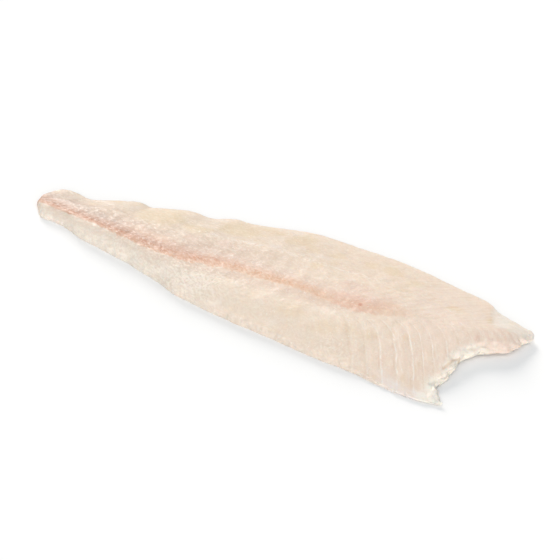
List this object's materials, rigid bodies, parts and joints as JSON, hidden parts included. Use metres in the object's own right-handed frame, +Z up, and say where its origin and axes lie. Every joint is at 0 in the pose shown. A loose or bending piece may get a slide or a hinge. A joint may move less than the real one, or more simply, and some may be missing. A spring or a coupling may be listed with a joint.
{
  "type": "frozen halibut fillet",
  "caption": "Long skinless flatfish fillet with a tapered tail, a notched head end, a lateral line and chevron flakes, lying flat.",
  "frame": {"origin": "under the middle of the fillet's box, on the surface that it lies on", "axes": "+X along the fillet from the tail cut to the notched head end, +Y across it to the long fin edge, +Z up from the surface"},
  "size_m": [0.451, 0.1642, 0.0188],
  "materials": {
    "flesh": "pale cream frozen fish flesh, semi-matte, with a thin frost and a salmon-pink lateral line"
  },
  "bodies": {
    "root": {"fillet": "flesh"}
  },
  "joints": []
}
